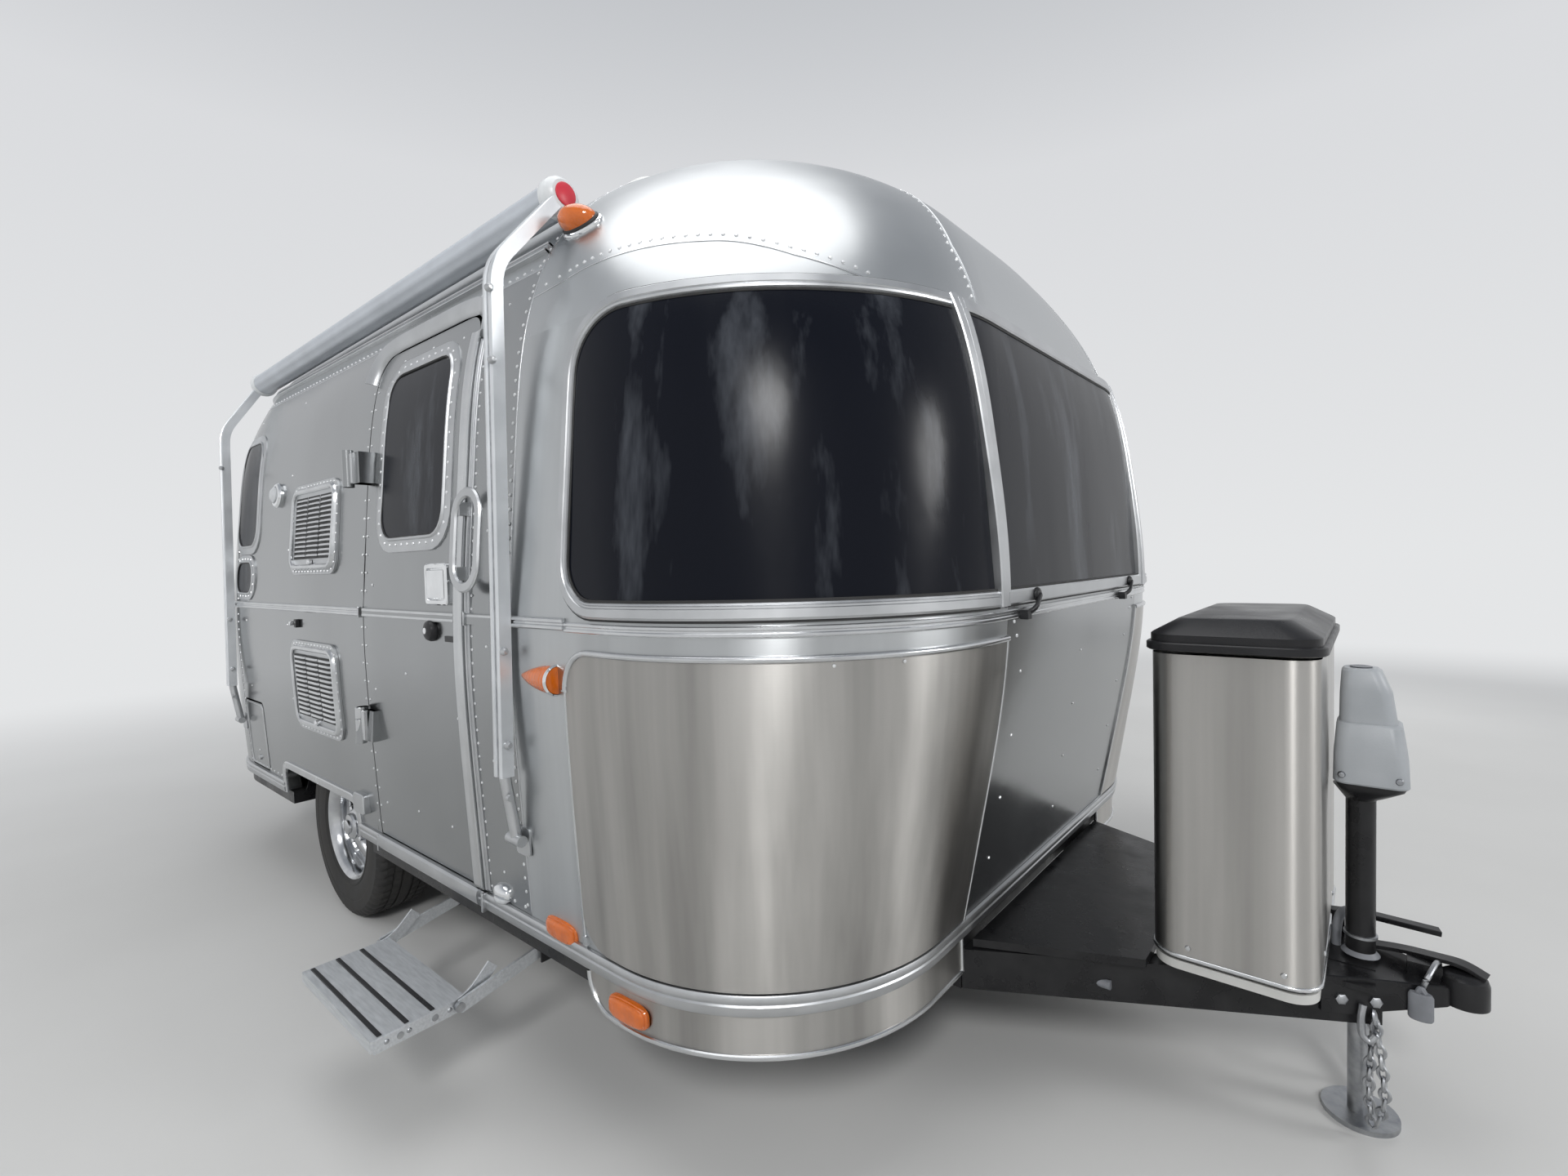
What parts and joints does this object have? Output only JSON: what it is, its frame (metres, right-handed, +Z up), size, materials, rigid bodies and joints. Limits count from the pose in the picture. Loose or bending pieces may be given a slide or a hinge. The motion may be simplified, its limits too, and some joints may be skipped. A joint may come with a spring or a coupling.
{
  "type": "travel caravan",
  "caption": "Riveted aluminium travel caravan with wrap-round front windows, entry door, folding step, tongue jack and gas-bottle cover.",
  "frame": {"origin": "centre of the coupler's ball socket; the ground is 0.370 m below", "axes": "+X forward along the tongue, +Y to the street side, away from the entry door, +Z up"},
  "size_m": [4.9032, 2.7779, 2.895],
  "materials": {
    "skin": "polished",
    "glass": "tinted",
    "stainless": "brushed",
    "trim": "satin",
    "chrome": "polished",
    "frame_paint": "satin",
    "jack_cover": "satin",
    "zinc": "satin",
    "alloy": "polished",
    "tyre": "matte",
    "black_plastic": "matte",
    "steel_bottle": "gloss",
    "step_metal": "satin",
    "awning": "satin",
    "roof_plastic": "gloss"
  },
  "bodies": {
    "body": {"air_conditioner": "roof_plastic", "awning_arm_front": "trim", "awning_arm_rear": "trim", "awning_roller": "awning", "axle": "frame_paint", "belt_moulding_rear": "trim", "bottle_cover": "stainless", "bottom_rail_front": "trim", "bottom_rail_rear": "trim", "chassis": "frame_paint", "corner_guard_curb": "stainless", "corner_guard_street": "stainless", "corner_skirt_curb": "stainless", "corner_skirt_street": "stainless", "coupler": "frame_paint", "curb_low_window": "glass", "curb_rear_window": "glass", "curb_wall_front": "skin", "curb_wall_over_door": "skin", "curb_wall_rear": "skin", "floor": "frame_paint", "front_corner_curb": "skin", "front_corner_street": "skin", "front_dome": "skin", "front_panel": "skin", "front_window": "glass", "gas_bottles": "steel_bottle", "jack_head": "jack_cover", "jack_mast": "frame_paint", "rear_bumper": "trim", "rear_corner_curb": "skin", "rear_corner_street": "skin", "rear_dome": "skin", "rear_panel": "skin", "rear_window": "glass", "roof_skin": "skin", "roof_vent": "roof_plastic", "street_front_window": "glass", "street_rear_window": "glass", "street_wall": "skin", "tongue_deck": "frame_paint", "vent_lower": "trim", "vent_upper": "trim", "wheel_well_curb": "frame_paint", "wheel_well_street": "frame_paint", "wrap_window_curb": "glass", "wrap_window_street": "glass"},
    "door": {"door_latch": "chrome", "door_panel": "skin", "door_window": "glass"},
    "wheel_curb_side": {"wheel_curb": "alloy", "tyre_curb": "tyre"},
    "wheel_street_side": {"wheel_street": "alloy", "tyre_street": "tyre"},
    "lid": {"bottle_lid": "black_plastic"},
    "hatch_curb": {"curb_hatch": "skin"},
    "hatch_street": {"street_hatch": "skin"},
    "jack_foot": {"jack_leg": "zinc"},
    "step_arm": {"step_arms": "step_metal"},
    "step_plate": {"step_tread": "step_metal"}
  },
  "joints": [
    {"name": "door_swing", "type": "hinge", "parent": "body", "child": "door", "pos_m": [-2.734, -1.244, 0.89], "axis": [0, 0, -1], "range_deg": [0, 105]},
    {"name": "wheel_curb_turn", "type": "hinge", "parent": "body", "child": "wheel_curb_side", "pos_m": [-3.29, -1.025, -0.018], "axis": [0, 1, 0], "continuous": true},
    {"name": "wheel_street_turn", "type": "hinge", "parent": "body", "child": "wheel_street_side", "pos_m": [-3.29, 1.025, -0.018], "axis": [0, 1, 0], "continuous": true},
    {"name": "lid_lift", "type": "hinge", "parent": "body", "child": "lid", "pos_m": [-0.57, 0, 0.759], "axis": [0, -1, 0], "range_deg": [0, 80]},
    {"name": "hatch_curb_lift", "type": "hinge", "parent": "body", "child": "hatch_curb", "pos_m": [-4.099, -1.213, 0.42], "axis": [-1, 0, 0], "range_deg": [0, 100]},
    {"name": "hatch_street_lift", "type": "hinge", "parent": "body", "child": "hatch_street", "pos_m": [-2.275, 1.211, 0.395], "axis": [1, 0, 0], "range_deg": [0, 100]},
    {"name": "jack_raise", "type": "slide", "parent": "body", "child": "jack_foot", "axis": [0, 0, 1], "range_m": [0, 0.25]},
    {"name": "step_fold", "type": "hinge", "parent": "body", "child": "step_arm", "pos_m": [-2.13, -1.1, -0.04], "axis": [1, 0, 0], "range_deg": [0, 155]},
    {"name": "step_level", "type": "hinge", "parent": "step_arm", "child": "step_plate", "pos_m": [-2.13, -1.345, -0.088], "axis": [1, 0, 0], "range_deg": [-155, 0]}
  ],
  "couplings": [
    {"joint": "step_level", "follows": "step_fold", "ratio": -1}
  ]
}
